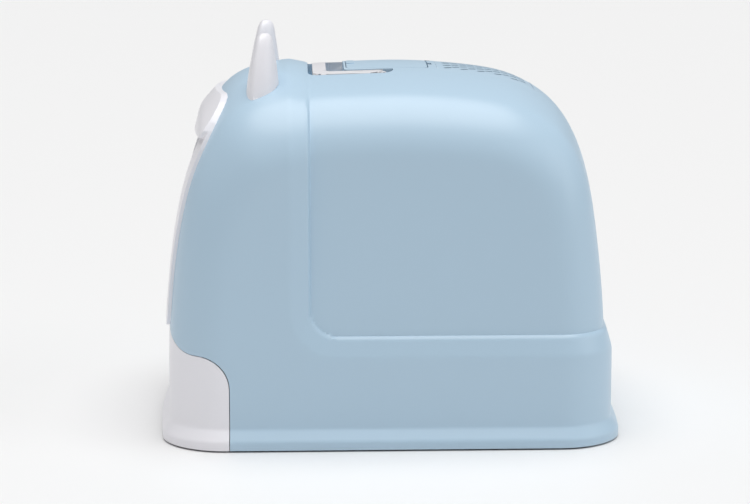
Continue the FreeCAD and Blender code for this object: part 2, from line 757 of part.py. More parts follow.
RAIL_MID = "(sizes.rail_front + sizes.rail_back) / 2"
RAIL_LONG = "(sizes.rail_back - sizes.rail_front)"
for side, word in ((-1, "left"), (1, "right")):
    rail = body_of(f"drawer_rail_{word}")
    tread_mid = f"{side} * (sizes.rail_fence - sizes.rail_foot / 2)"
    tread = rectangle(rail, f"rail_tread_{word}", "XY_Plane", "sizes.rail_foot",
                      RAIL_LONG, tread_mid, RAIL_MID, BASE_TOP)
    pad(rail, tread, "sizes.rail_thick")
    fence = rectangle(rail, f"rail_fence_{word}", "XY_Plane", "sizes.rail_thick",
                      RAIL_LONG, f"{side} * (sizes.rail_fence - sizes.rail_thick / 2)",
                      RAIL_MID, BASE_TOP)
    pad(rail, fence, f"sizes.rail_fence_top - {BASE_TOP}")

PAN_MID = "(sizes.pan_front + sizes.pan_back) / 2"
PAN_LONG = "(sizes.pan_back - sizes.pan_front)"
pan = body_of("drawer_pan")
pan_floor = rectangle(pan, "pan_outline", "XY_Plane", "(sizes.pan_half_width * 2)", PAN_LONG,
                      up=PAN_MID, offset="sizes.pan_bottom")
pan_pad = pad(pan, pan_floor, "sizes.pan_top - sizes.pan_bottom")
pan_round = round_edges(pan, pan_pad, "sizes.pan_corner", upright)
low_round = round_edges(pan, pan_round, "sizes.pan_low_corner",
                        lambda middle, run: abs(middle.z - size("pan_bottom")) < 0.01)
doc.recompute()
top_face = next(f"Face{i}" for i, face in enumerate(low_round.Shape.Faces, start=1)
                if face.BoundBox.ZMin > size("pan_top") - 0.01)
shell = pan.newObject("PartDesign::Thickness", "pan_hollow")
shell.Base = (low_round, [top_face])
shell.setExpression("Value", "sizes.pan_wall")
shell.Reversed = True
BOSS_SPOTS = [(x, z) for x in BOSS_XS for z in BOSS_ZS]
pan_holes = circles(pan, "pan_holes", "XZ_Plane", "sizes.screw_radius + 0.1", BOSS_SPOTS,
                    "-sizes.pan_front - sizes.pan_wall - 1")
pocket(pan, pan_holes, "sizes.pan_wall + 2", down=False)

grate = body_of("step_grate")
GRATE_LONG = "sizes.grate_long"
grate_outline = rectangle(grate, "grate_outline", "XY_Plane", "(sizes.pan_half_width * 2 - 4)",
                          GRATE_LONG, up="sizes.pan_front + 2 + sizes.grate_long / 2",
                          offset="sizes.pan_top")
grate_pad = pad(grate, grate_outline, "sizes.grate_thick")
grate_round = round_edges(grate, grate_pad, "sizes.pan_corner - 2", upright)
gap_sketch = rectangle(grate, "grate_gap", "XY_Plane", "sizes.grate_gap", "sizes.grate_long - 30",
                       "-sizes.grate_pitch * (sizes.grate_count - 1) / 2",
                       "sizes.pan_front + 2 + sizes.grate_long / 2",
                       "sizes.pan_top + sizes.grate_thick")
gap_cut = pocket(grate, gap_sketch, "sizes.grate_thick")
row_of_gaps = grate.newObject("PartDesign::LinearPattern", "grate_gaps")
row_of_gaps.Originals = [gap_cut]
row_of_gaps.Direction = (plane_of(grate, "X_Axis"), [""])
row_of_gaps.setExpression("Length", "sizes.grate_pitch * (sizes.grate_count - 1)")
row_of_gaps.setExpression("Occurrences", "sizes.grate_count")
grate.Tip = row_of_gaps

flap = body_of("door_flap")
FLAP_LOW = "(sizes.door_sill + sizes.flap_gap)"
FLAP_HIGH = "(sizes.hinge_height - 3.4)"
flap_outline = rectangle(flap, "flap_outline", "XZ_Plane",
                         "((sizes.door_half_width - sizes.flap_gap) * 2)",
                         f"({FLAP_HIGH} - {FLAP_LOW})", up=f"({FLAP_HIGH} + {FLAP_LOW}) / 2",
                         offset="-sizes.hinge_back - sizes.flap_thick / 2")
flap_pad = pad(flap, flap_outline, "sizes.flap_thick")
flap_round = round_edges(flap, flap_pad, "sizes.flap_corner",
                         lambda middle, run: abs(run.x) < 0.01 and abs(run.z) < 0.01
                         and middle.z < 200)
flap_bar = circles(flap, "flap_barrel", "YZ_Plane", f"sizes.hinge_rod_radius + {BARREL_WALL}",
                   [(hinge_y, hinge_z)], "-92")
pad(flap, flap_bar, "184")
flap_bore = circles(flap, "flap_bore", "YZ_Plane", "sizes.hinge_rod_radius + 0.08",
                    [(hinge_y, hinge_z)], "-110")
pocket(flap, flap_bore, "220", down=False)

filter_pad = body_of("carbon_filter")
FILTER_MID = "(sizes.vent_front + sizes.vent_back) / 2"
filter_outline = rectangle(filter_pad, "filter_outline", "XY_Plane", "sizes.filter_wide",
                           "(sizes.vent_back - sizes.vent_front - 7)", up=FILTER_MID,
                           offset=str(BASKET_FLOOR + 2))
filter_block = pad(filter_pad, filter_outline, "sizes.filter_thick")
round_edges(filter_pad, filter_block, "sizes.filter_corner", upright)


# --- Pins and screws ----------------------------------------------------------------------------

ALONG_X = Rotation(Vector(0, 1, 0), 90)
ALONG_Y = Rotation(Vector(1, 0, 0), 90)
UP = Rotation()


def rod(name, radius, length, base_point, turn):
    """A plain round bar from a point along a turned +Z."""
    bar = primitive("Cylinder", name, Radius=radius, Height=length)
    bar.Placement = FreeCAD.Placement(base_point, turn)
    return bar


def group(label, pieces):
    """Like pieces that share one node."""
    compound = doc.addObject("Part::Compound", label)
    compound.Label = label
    compound.Links = pieces
    return compound


def screw(name, tip, turn, length):
    """A pan-head screw: its shank runs from under the head, its head lies the other way."""
    shank = rod(name + "_shank", "sizes.screw_radius", str(length), tip, turn)
    back = turn.multVec(Vector(0, 0, -1.8))
    head = rod(name + "_head", "sizes.screw_head_radius", "1.8", tip + back, turn)
    whole = doc.addObject("Part::Fuse", name)
    whole.Base, whole.Tool = shank, head
    return whole


rod("door_hinge_rod", "sizes.hinge_rod_radius", "212.6", Vector(-106.3, hinge_y, hinge_z), ALONG_X)
rod("hatch_hinge_pin", "sizes.hatch_pin_radius", "54", Vector(-27, *HATCH_AXIS), ALONG_X)
group("handle_pivot_pins",
      [rod(f"pivot_pin_{word}", "sizes.pivot_radius", "24",
           Vector(start, pivot_y, pivot_z), ALONG_X)
       for word, start in (("left", -72.0), ("right", 48.0))])
group("base_screws", [screw(f"base_screw_{n}", Vector(x, y, size("base_bottom")), UP, 20)
                      for n, (x, y) in enumerate(POST_SPOTS)])
inside_wall = size("pan_front") + size("pan_wall")
group("drawer_front_screws", [screw(f"front_screw_{n}", Vector(x, inside_wall, z), ALONG_Y, 14)
                              for n, (x, z) in enumerate(BOSS_SPOTS)])

NODES = [
    "hood_shell", "door_frame", "hinge_cover", "ear_left", "ear_right", "vent_panel",
    "filter_basket", "carbon_filter", "base_plate", "drawer_rail_left", "drawer_rail_right",
    "foot_front_left", "foot_front_right", "foot_rear_left", "foot_rear_right", "base_screws",
    "door_hinge_rod", "handle_pivot_pins", "hatch_hinge_pin", "door_flap", "carry_handle",
    "top_hatch", "drawer_pan", "drawer_front", "pull_cup", "drawer_front_screws", "step_grate",
]

doc.recompute()
for item in doc.Objects:
    if "Invalid" in item.State or "Error" in item.State:
        raise RuntimeError(f"{item.Label}: {item.State}")
os.makedirs("parts", exist_ok=True)
for label in NODES:
    shape = doc.getObject(label).Shape
    if shape.isNull() or not shape.isValid() or not shape.Solids:
        raise RuntimeError(f"{label} has no sound shape")
    shape.exportStep(f"parts/{label}.step")
    print(f"{label}: {len(shape.Solids)} solid(s), {shape.Volume / 1000:.1f} cm3")
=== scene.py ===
import json
import math

import bmesh
import bpy
import numpy as np
from bpy.props import FloatProperty, FloatVectorProperty, PointerProperty
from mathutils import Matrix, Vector

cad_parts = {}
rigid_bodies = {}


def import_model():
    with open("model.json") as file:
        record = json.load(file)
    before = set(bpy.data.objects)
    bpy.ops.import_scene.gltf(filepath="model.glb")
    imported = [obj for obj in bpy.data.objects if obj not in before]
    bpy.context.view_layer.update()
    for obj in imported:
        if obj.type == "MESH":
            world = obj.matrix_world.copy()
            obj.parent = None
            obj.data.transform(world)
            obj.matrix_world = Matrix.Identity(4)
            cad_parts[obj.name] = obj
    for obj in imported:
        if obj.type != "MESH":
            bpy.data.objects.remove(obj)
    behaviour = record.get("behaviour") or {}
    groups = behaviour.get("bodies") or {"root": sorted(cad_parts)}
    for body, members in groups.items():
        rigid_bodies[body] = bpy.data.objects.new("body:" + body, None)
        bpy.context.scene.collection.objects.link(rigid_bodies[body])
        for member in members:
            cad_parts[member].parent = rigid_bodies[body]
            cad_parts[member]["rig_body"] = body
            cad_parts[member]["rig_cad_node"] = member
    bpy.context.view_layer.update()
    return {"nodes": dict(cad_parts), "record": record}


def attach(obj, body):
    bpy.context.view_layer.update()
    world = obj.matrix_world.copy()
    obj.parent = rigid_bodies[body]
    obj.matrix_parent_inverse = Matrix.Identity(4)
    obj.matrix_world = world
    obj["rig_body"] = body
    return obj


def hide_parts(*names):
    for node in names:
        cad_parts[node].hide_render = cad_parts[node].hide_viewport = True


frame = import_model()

bl_info = {
    "name": "Hooded cat litter box",
    "version": (1, 0, 0),
    "blender": (4, 5, 0),
    "location": "3D View > Sidebar > Litter box",
    "description": "Builds the visible pieces, finishes and studio of a hooded cat litter box",
    "category": "Object",
}

NODES = frame["nodes"]


# --- What a user would change ---------------------------------------------------------------------

class LitterBoxColours(bpy.types.PropertyGroup):
    hood_blue: FloatVectorProperty(
        name="Hood blue", description="Colour of the moulded hood, hatch and vent panel",
        subtype="COLOR", size=3, min=0.0, max=1.0, default=(0.475, 0.635, 0.770))
    trim_white: FloatVectorProperty(
        name="Trim white", description="Colour of the ears, door frame, brow and drawer front",
        subtype="COLOR", size=3, min=0.0, max=1.0, default=(0.880, 0.872, 0.915))
    handle_white: FloatVectorProperty(
        name="Handle white", description="Colour of the folding handle",
        subtype="COLOR", size=3, min=0.0, max=1.0, default=(0.730, 0.725, 0.750))
    pan_grey: FloatVectorProperty(
        name="Pan grey", description="Colour of the litter pan and its grate",
        subtype="COLOR", size=3, min=0.0, max=1.0, default=(0.420, 0.460, 0.500))
    base_grey: FloatVectorProperty(
        name="Base grey", description="Colour of the base plate and rails",
        subtype="COLOR", size=3, min=0.0, max=1.0, default=(0.330, 0.360, 0.390))
    floor_white: FloatVectorProperty(
        name="Floor white", description="Colour of the studio floor",
        subtype="COLOR", size=3, min=0.0, max=1.0, default=(0.855, 0.855, 0.855))


class LitterBoxSizes(bpy.types.PropertyGroup):
    camera_lens: FloatProperty(
        name="Lens", description="Focal length of the studio camera on a 36 mm sensor, in millimetres",
        default=111.6, min=20.0, max=300.0)
    camera_place: FloatVectorProperty(
        name="Camera place", description="Where the studio camera stands",
        subtype="XYZ", unit="LENGTH", size=3, default=(2.6656, -0.1087, 0.6507))
    camera_pitch: FloatProperty(
        name="Camera pitch", description="How far the camera looks down",
        subtype="ANGLE", default=math.radians(9.9))
    camera_yaw: FloatProperty(
        name="Camera yaw", description="How far the camera is turned towards the rear of the box",
        subtype="ANGLE", default=math.radians(2.05))


def colours():
    return bpy.context.scene.litter_box_colours


def sizes():
    return bpy.context.scene.litter_box_sizes


# --- Shared helpers -------------------------------------------------------------------------------

def deselect_all():
    if bpy.context.object and bpy.context.object.mode != "OBJECT":
        bpy.ops.object.mode_set(mode="OBJECT")
    bpy.ops.object.select_all(action="DESELECT")


def make_active(piece):
    deselect_all()
    piece.select_set(True)
    bpy.context.view_layer.objects.active = piece


def moulded_copy(node, name, smooth_angle=28.0):
    """A merged, smooth-shaded copy of a CAD node, to be finished as a moulded part."""
    piece = NODES[node].copy()
    piece.data = NODES[node].data.copy()
    piece.name = piece.data.name = name
    piece.parent = None
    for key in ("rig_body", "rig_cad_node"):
        if key in piece:
            del piece[key]
    bpy.context.scene.collection.objects.link(piece)
    make_active(piece)
    bpy.ops.object.mode_set(mode="EDIT")
    bpy.ops.mesh.select_all(action="SELECT")
    bpy.ops.mesh.remove_doubles(threshold=0.00001)
    bpy.ops.object.mode_set(mode="OBJECT")
    bpy.ops.object.shade_smooth_by_angle(angle=math.radians(smooth_angle))
    return piece


def settle(piece, body, slot, material, *nodes):
    """Gives a piece its finish and its body, and hides the CAD nodes it stands for."""
    piece.data.materials.clear()
    piece.data.materials.append(material)
    if nodes:
        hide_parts(*nodes)
    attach(piece, body)
    return piece


# --- Finishes -------------------------------------------------------------------------------------

def new_group(name, inputs, outputs):
    tree = bpy.data.node_groups.new(name, "ShaderNodeTree")
    for label, kind, default in inputs:
        socket = tree.interface.new_socket(name=label, in_out="INPUT", socket_type=kind)
        socket.default_value = default
    for label, kind in outputs:
        tree.interface.new_socket(name=label, in_out="OUTPUT", socket_type=kind)
    return tree, tree.nodes.new("NodeGroupInput"), tree.nodes.new("NodeGroupOutput")


def moulded_skin_group():
    """Faint mottling and fine grain of injection-moulded plastic, with a painted highlight and a rougher scuff
    along its sharp edges.
    """
    name = "moulded skin"
    if name in bpy.data.node_groups:
        return bpy.data.node_groups[name]
    tree, inward, outward = new_group(
        name,
        [("Colour", "NodeSocketColor", (0.8, 0.8, 0.8, 1.0)), ("Mottle", "NodeSocketFloat", 0.03),
         ("Grain size", "NodeSocketFloat", 900.0), ("Gloss", "NodeSocketFloat", 0.3),
         ("Gloss spread", "NodeSocketFloat", 0.06), ("Edge highlight and scuff", "NodeSocketFloat", 0.3)],
        [("Colour", "NodeSocketColor"), ("Roughness", "NodeSocketFloat"), ("Height", "NodeSocketFloat")])
    nodes, links = tree.nodes, tree.links
    place = nodes.new("ShaderNodeTexCoord")

    def noise(scale, detail, rough=0.5):
        node = nodes.new("ShaderNodeTexNoise")
        node.inputs["Scale"].default_value = scale
        node.inputs["Detail"].default_value = detail
        node.inputs["Roughness"].default_value = rough
        links.new(place.outputs["Object"], node.inputs["Vector"])
        return node

    def maths(kind, a, b, clamp=False):
        node = nodes.new("ShaderNodeMath")
        node.operation = kind
        node.use_clamp = clamp
        for socket, value in zip(node.inputs, (a, b)):
            if isinstance(value, (int, float)):
                socket.default_value = value
            else:
                links.new(value, socket)
        return node.outputs[0]

    broad = noise(5.0, 3.0)
    fine = noise(60.0, 4.0)
    grain = noise(900.0, 2.0)
    links.new(inward.outputs["Grain size"], grain.inputs["Scale"])
    # Sharp convex edges, found by pointiness, are mixed towards near white. This is a painted highlight along
    # the edges, which are also made rougher as a scuff.
    edges = nodes.new("ShaderNodeNewGeometry")
    ridge = nodes.new("ShaderNodeMapRange")
    ridge.inputs["From Min"].default_value = 0.52
    ridge.inputs["From Max"].default_value = 0.62
    links.new(edges.outputs["Pointiness"], ridge.inputs["Value"])
    edge_highlight_and_scuff_mask = maths("MULTIPLY", maths("MULTIPLY", ridge.outputs[0], fine.outputs["Fac"]),
                 inward.outputs["Edge highlight and scuff"], True)
    shade = maths("MULTIPLY", maths("SUBTRACT", broad.outputs["Fac"], 0.5), inward.outputs["Mottle"])
    tone = nodes.new("ShaderNodeHueSaturation")
    links.new(inward.outputs["Colour"], tone.inputs["Color"])
    links.new(maths("ADD", shade, 1.0), tone.inputs["Value"])
    pale = nodes.new("ShaderNodeMix")
    pale.data_type = "RGBA"
    links.new(edge_highlight_and_scuff_mask, pale.inputs["Factor"])
    links.new(tone.outputs["Color"], pale.inputs["A"])
    pale.inputs["B"].default_value = (0.95, 0.95, 0.96, 1.0)
    links.new(pale.outputs["Result"], outward.inputs["Colour"])
    spread = maths("MULTIPLY", maths("SUBTRACT", fine.outputs["Fac"], 0.5), inward.outputs["Gloss spread"])
    links.new(maths("ADD", maths("ADD", inward.outputs["Gloss"], spread), maths("MULTIPLY", edge_highlight_and_scuff_mask, 0.3)),
              outward.inputs["Roughness"])
    links.new(maths("ADD", grain.outputs["Fac"], maths("MULTIPLY", broad.outputs["Fac"], 0.4)),
              outward.inputs["Height"])
    return tree


def moulded_plastic(name, colour, gloss=0.3, mottle=0.03, grain=900.0, bump=0.02, edge_highlight_and_scuff=0.25):
    """Moulded plastic: its colour, gloss and fine texture, with a painted highlight and a rougher scuff along
    its sharp edges.
    """
    if name in bpy.data.materials:
        return bpy.data.materials[name]
    material = bpy.data.materials.new(name)
    material.use_nodes = True
    nodes, links = material.node_tree.nodes, material.node_tree.links
    shader = nodes["Principled BSDF"]
    skin = nodes.new("ShaderNodeGroup")
    skin.node_tree = moulded_skin_group()
    skin.inputs["Colour"].default_value = (*colour, 1.0)
    skin.inputs["Gloss"].default_value = gloss
    skin.inputs["Mottle"].default_value = mottle
    skin.inputs["Grain size"].default_value = grain
    skin.inputs["Edge highlight and scuff"].default_value = edge_highlight_and_scuff
    links.new(skin.outputs["Colour"], shader.inputs["Base Color"])
    links.new(skin.outputs["Roughness"], shader.inputs["Roughness"])
    relief = nodes.new("ShaderNodeBump")
    relief.inputs["Strength"].default_value = bump
    relief.inputs["Distance"].default_value = 0.001
    links.new(skin.outputs["Height"], relief.inputs["Height"])
    links.new(relief.outputs["Normal"], shader.inputs["Normal"])
    shader.inputs["IOR"].default_value = 1.49
    material.diffuse_color = (*colour, 1.0)
    return material


def hood_plastic():
    return moulded_plastic("hood plastic", colours().hood_blue, gloss=0.34, mottle=0.03)


def white_plastic():
    return moulded_plastic("white trim plastic", colours().trim_white, gloss=0.32)


def handle_plastic():
    return moulded_plastic("handle plastic", colours().handle_white, gloss=0.42, grain=1400.0, bump=0.06)


def pan_plastic():
    return moulded_plastic("pan plastic", colours().pan_grey, gloss=0.45, bump=0.05)


def base_plastic():
    return moulded_plastic("base plastic", colours().base_grey, gloss=0.5, bump=0.08)


def flap_plastic():
    """Frosted clear plastic, with faint streaks in its roughness."""
    name = "frosted flap plastic"
    if name in bpy.data.materials:
        return bpy.data.materials[name]
    material = moulded_plastic(name, (0.86, 0.92, 0.95), gloss=0.28, grain=500.0, bump=0.05, edge_highlight_and_scuff=0.1)
    shader = material.node_tree.nodes["Principled BSDF"]
    shader.inputs["Transmission Weight"].default_value = 0.75
    return material


def steel():
    name = "plain steel"
    if name in bpy.data.materials:
        return bpy.data.materials[name]
    material = moulded_plastic(name, (0.58, 0.58, 0.60), gloss=0.3, grain=1500.0, bump=0.04, edge_highlight_and_scuff=0.6)
    material.node_tree.nodes["Principled BSDF"].inputs["Metallic"].default_value = 1.0
    return material


def rubber():
    return moulded_plastic("foot rubber", (0.030, 0.030, 0.033), gloss=0.75, grain=700.0, bump=0.2)


def felt():
    return moulded_plastic("charcoal felt", (0.020, 0.020, 0.021), gloss=0.95, grain=350.0, bump=0.9)


# --- The moulded form -----------------------------------------------------------------------------
# The hood is a rounded vault.  Its skin is where a distance function is nought: a side profile, drawn
# smaller towards the sides, meets two drafted walls, and a ball rolls along the edge between them.

MM = 0.001
COLLAR_PROFILE = [
    (-252, 0), (-252, 70), (-250.5, 125), (-245, 200), (-236, 260), (-222, 315), (-203, 358),
    (-180, 388), (-150, 403), (-113, 409.5), (0, 416), (90, 411), (180, 383), (234, 305),
    (249, 210), (252, 100), (252, 0),
]
REAR_PROFILE = [
    (-241, 0), (-241, 70), (-239, 125), (-233, 200), (-223, 260), (-207, 315), (-187, 350),
    (-155, 381), (-105, 402), (-50, 406.5), (5, 408), (60, 406), (100, 402), (137, 394.5),
    (165, 382), (190, 363), (209, 337), (222, 304), (231, 256), (237, 205), (241.5, 150),
    (243, 110), (243.5, 0),
]
BROW_PROFILE = [
    (-252, 0), (-252, 70), (-251, 125), (-245, 200), (-237, 260), (-227, 310), (-221.2, 331),
    (-217.5, 345), (-213.9, 357.5), (-203.5, 371.5), (-184, 391), (-150, 409),
    (-113, 417), (0, 424), (90, 419), (180, 391), (234, 311), (249, 210), (252, 100), (252, 0),
]
CROWN_DROP, END_BOW, CROWN_AT = 57.0, 12.0, 200.0
LEDGE_HEIGHT, COLLAR_BACK, LEDGE_CORNER = 122.0, -92.0, 33.0
LEDGE_SLOPE, LEDGE_CUT = 20.0, 6.0
FLANGE_OUT, FLANGE_TOP, FLANGE_RISE = 9.0, 24.0, 13.0
FIELD_LOW, FIELD_HIGH = (-300.0, -60.0), (300.0, 470.0)


def smooth_profile(points):
    """The profile's points joined by an even, rounded curve."""
    count = len(points)
    at = np.array(points, float)
    chord = np.concatenate([[0.0], np.cumsum(np.linalg.norm(np.diff(at, axis=0), axis=1))])
    # A natural spline through the points, held upright at both feet.
    system = np.zeros((count, count))
    right = np.zeros_like(at)
    system[0, 0] = system[-1, -1] = 1.0
    right[0], right[-1] = (0.0, 1.0), (0.0, -1.0)
    for i in range(1, count - 1):
        before, after = chord[i] - chord[i - 1], chord[i + 1] - chord[i]
        system[i, i - 1], system[i, i], system[i, i + 1] = after, 2 * (before + after), before
        right[i] = 3 * (after * (at[i] - at[i - 1]) / before + before * (at[i + 1] - at[i]) / after)
    slopes = np.linalg.solve(system, right)
    curve = []
    for i in range(count - 1):
        length = chord[i + 1] - chord[i]
        share = np.linspace(0.0, 1.0, max(3, int(length / 2)), endpoint=False)[:, None]
        curve.append((2 * share ** 3 - 3 * share ** 2 + 1) * at[i]
                     + (share ** 3 - 2 * share ** 2 + share) * length * slopes[i]
                     + (3 * share ** 2 - 2 * share ** 3) * at[i + 1]
                     + (share ** 3 - share ** 2) * length * slopes[i + 1])
    below = FIELD_LOW[1] - 40
    return np.concatenate([[[at[0, 0], below]], *curve, at[-1:], [[at[-1, 0], below]]])


def distance_field(points, step=2.0):
    """Signed distance to a profile on an even grid, negative inside it."""
    curve = smooth_profile(points)
    ys = np.arange(FIELD_LOW[0], FIELD_HIGH[0] + step, step)
    zs = np.arange(FIELD_LOW[1], FIELD_HIGH[1] + step, step)
    grid_y, grid_z = np.meshgrid(ys, zs, indexing="ij")
    best = np.full(grid_y.shape, 1e9)
    inside = np.zeros(grid_y.shape, bool)
    for (y0, z0), (y1, z1) in zip(curve, curve[1:]):
        run_y, run_z = y1 - y0, z1 - z0
        along = ((grid_y - y0) * run_y + (grid_z - z0) * run_z) / (run_y ** 2 + run_z ** 2)
        along = np.clip(along, 0.0, 1.0)
        gap = np.hypot(grid_y - y0 - along * run_y, grid_z - z0 - along * run_z)
        best = np.minimum(best, gap)
        if y0 != y1:
            under = (grid_y >= min(y0, y1)) & (grid_y < max(y0, y1))
            inside ^= under & (grid_z < z0 + (grid_y - y0) * run_z / run_y)
    return np.where(inside, -best, best), step


def read_field(field, y, z):
    """The field's value between its grid points."""
    values, step = field
    column = np.clip((y - FIELD_LOW[0]) / step, 0, values.shape[0] - 1.001)
    row = np.clip((z - FIELD_LOW[1]) / step, 0, values.shape[1] - 1.001)
    i, j = column.astype(int), row.astype(int)
    u, v = column - i, row - j
    return ((1 - u) * (1 - v) * values[i, j] + u * (1 - v) * values[i + 1, j]
            + (1 - u) * v * values[i, j + 1] + u * v * values[i + 1, j + 1])


FORMS = {
    "collar": dict(profile=COLLAR_PROFILE, half=197.0, draft=1.2, roll=58.0),
    "rear": dict(profile=REAR_PROFILE, half=190.0, draft=2.4, roll=50.0),
}
for form in FORMS.values():
    form["field"] = distance_field(form["profile"])
BROW_FIELD = distance_field(BROW_PROFILE)


def form_distance(word, x, y, z):
    """Distance from one of the two rounded vaults."""
    form = FORMS[word]
    share = (x / CROWN_AT) ** 2
    vault = read_field(form["field"], y / (1 - END_BOW * share / 250), z / (1 - CROWN_DROP * share / 408))
    lean = math.tan(math.radians(form["draft"]))
    wall = (np.abs(x) - form["half"] + lean * z) * math.cos(math.radians(form["draft"]))
    roll = form["roll"]
    a, b = vault + roll, wall + roll
    return np.hypot(np.maximum(a, 0), np.maximum(b, 0)) + np.minimum(np.maximum(a, b), 0) - roll


def soft_least(a, b, width):
    """The smaller of two distances, eased where they cross."""
    mix = np.clip(0.5 + 0.5 * (b - a) / width, 0, 1)
    return b * (1 - mix) + a * mix - width * mix * (1 - mix)


def soft_ramp(value, width):
    """Nought below nought, the value above it, eased round the bend."""
    return np.where(value < -width, 0.0,
                    np.where(value > width, value, (value + width) ** 2 / (4 * width)))


def skin_distance(x, y, z):
    """Distance from the whole outer skin: rear vault, proud collar and band, and flared foot."""
    rear = form_distance("rear", x, y, z)
    collar = form_distance("collar", x, y, z)
    behind = y - COLLAR_BACK
    over = z - LEDGE_HEIGHT
    corner = LEDGE_CORNER - np.hypot(np.minimum(behind - LEDGE_CORNER, 0), np.minimum(over - LEDGE_CORNER, 0))
    out_of_band = np.where((behind < LEDGE_CORNER) & (over < LEDGE_CORNER), corner,
                           np.minimum(behind, over))
    slope = LEDGE_CUT / LEDGE_SLOPE * soft_ramp(out_of_band + LEDGE_SLOPE, 3.0)
    riser = 2.6 * soft_ramp(out_of_band, 0.8)
    flare = FLANGE_OUT * (soft_ramp(FLANGE_TOP - z, 1.4) - soft_ramp(FLANGE_TOP - FLANGE_RISE - z, 1.4))
    return soft_least(rear, collar + slope + riser - flare / FLANGE_RISE, 1.6)


def brow_distance(x, y, z):
    """Distance from the vault that the brow over the door follows."""
    share = (x / CROWN_AT) ** 2
    return read_field(BROW_FIELD, y / (1 - END_BOW * share / 250), z / (1 - CROWN_DROP * share / 408))


def reach_skin(start, heading, depth=0.0, far=330.0, form=skin_distance):
    """Where rays from inside the form meet its skin, depth inside it."""
    low = np.zeros(len(start))
    high = np.full(len(start), far)
    for _ in range(26):
        middle = (low + high) / 2
        spot = start + heading * middle[:, None]
        outside = form(*spot.T) > -depth
        high = np.where(outside, middle, high)
        low = np.where(outside, low, middle)
    return start + heading * high[:, None]


def even_lines(*stretches):
    """Grid lines from (start, end, spacing) stretches laid end to end."""
    lines = []
    for start, end, spacing in stretches:
        steps = max(1, round((end - start) / spacing))
        lines += list(np.linspace(start, end, steps, endpoint=False))
    return lines + [stretches[-1][1]]


FAN = 8          # grid steps over half of a rolled edge
CORE_LOW = (-128.0, -186.0, 2.0)
CORE_HIGH = (128.0, 184.0, 336.0)
CORE_LINES = (
    even_lines((-128.0, 128.0, 8.0)),
    even_lines((-186.0, -118.0, 7.5), (-118.0, -52.0, 2.4), (-52.0, 184.0, 7.5)),
    even_lines((2.0, 26.0, 1.6), (26.0, 96.0, 8.0), (96.0, 162.0, 2.4), (162.0, 336.0, 7.5)),
)


def grid_lines(axis):
    """Where the block is sliced: along its core, and evenly over each rolled edge."""
    lines = list(CORE_LINES[axis])
    fan = [step / FAN for step in range(1, FAN + 1)]
    if axis < 2:
        lines = [lines[0] - f * 50 for f in reversed(fan)] + lines
    return lines + [lines[-1] + f * 50 for f in fan]


def form_block(name):
    """A block, sliced along its grid lines and blown out to the form's skin."""
    lines = [grid_lines(axis) for axis in range(3)]
    low = [l[0] for l in lines]
    high = [l[-1] for l in lines]
    deselect_all()
    bpy.ops.mesh.primitive_cube_add(size=1.0)
    block = bpy.context.object
    block.name = block.data.name = name
    for vertex in block.data.vertices:
        vertex.co = [low[i] if vertex.co[i] < 0 else high[i] for i in range(3)]
    bpy.ops.object.mode_set(mode="EDIT")
    for axis in range(3):
        normal = [1.0 if i == axis else 0.0 for i in range(3)]
        for line in lines[axis][1:-1]:
            bpy.ops.mesh.select_all(action="SELECT")
            bpy.ops.mesh.bisect(plane_co=[line * n for n in normal], plane_no=normal)
    bpy.ops.object.mode_set(mode="OBJECT")
    return block


def blow_out(block):
    """Moves a block's vertices out along their rays to the skin."""
    spots = np.empty(len(block.data.vertices) * 3)
    block.data.vertices.foreach_get("co", spots)
    spots = spots.reshape(-1, 3)
    start = np.clip(spots, CORE_LOW, CORE_HIGH)
    heading = (spots - start) / 50.0
    # On a face of the block a ray leaves squarely.  Over an edge the rays fan from the core's edge.
    heading = np.where(np.abs(heading) > 0.999, np.sign(heading), np.tan(heading * math.pi / 4))
    heading[:, 2] = np.maximum(heading[:, 2], 0.0)
    flat = np.linalg.norm(heading, axis=1) < 1e-6
    heading[flat] = (0, 0, 1)
    heading /= np.linalg.norm(heading, axis=1)[:, None]
    moved = reach_skin(start, heading)
    moved[flat] = spots[flat]
    block.data.vertices.foreach_set("co", (moved * MM).ravel())
    block.data.update()


WALL = 3.0


def moulded_shell(name):
    """The whole outline as a thin open-bottomed shell."""
    shell = form_block(name)
    make_active(shell)
    bpy.ops.object.mode_set(mode="EDIT")
    mesh = bmesh.from_edit_mesh(shell.data)
    floor_faces = [f for f in mesh.faces if f.calc_center_median().z < CORE_LOW[2] + 0.01]
    bpy.ops.mesh.select_all(action="DESELECT")
    for face in floor_faces:
        face.select_set(True)
    bmesh.update_edit_mesh(shell.data)
    bpy.ops.mesh.delete(type="FACE")
    bpy.ops.object.mode_set(mode="OBJECT")
    blow_out(shell)
    make_active(shell)
    bpy.ops.object.mode_set(mode="EDIT")
    bpy.ops.mesh.select_all(action="SELECT")
    bpy.ops.mesh.normals_make_consistent(inside=False)
    bpy.ops.object.mode_set(mode="OBJECT")
    skin = shell.modifiers.new("wall", "SOLIDIFY")
    skin.thickness = WALL * MM
    skin.offset = -1.0
    skin.use_even_offset = True
    skin.use_rim = True
    bpy.ops.object.modifier_apply(modifier="wall")
    return shell


# --- Pieces ---------------------------------------------------------------------------------------

def arc(centre, radius, start, end, steps=10):
    """Points on an arc, its ends given in degrees."""
    turns = [math.radians(start + (end - start) * i / steps) for i in range(steps + 1)]
    return [(centre[0] + radius * math.cos(t), centre[1] + radius * math.sin(t)) for t in turns]


def rounded_box_outline(x0, x1, z0, z1, r_low, r_high):
    """A rounded rectangle, anticlockwise from its lower left corner."""
    return (arc((x0 + r_low, z0 + r_low), r_low, 180, 270) + arc((x1 - r_low, z0 + r_low), r_low, 270, 360)
            + arc((x1 - r_high, z1 - r_high), r_high, 0, 90) + arc((x0 + r_high, z1 - r_high), r_high, 90, 180))


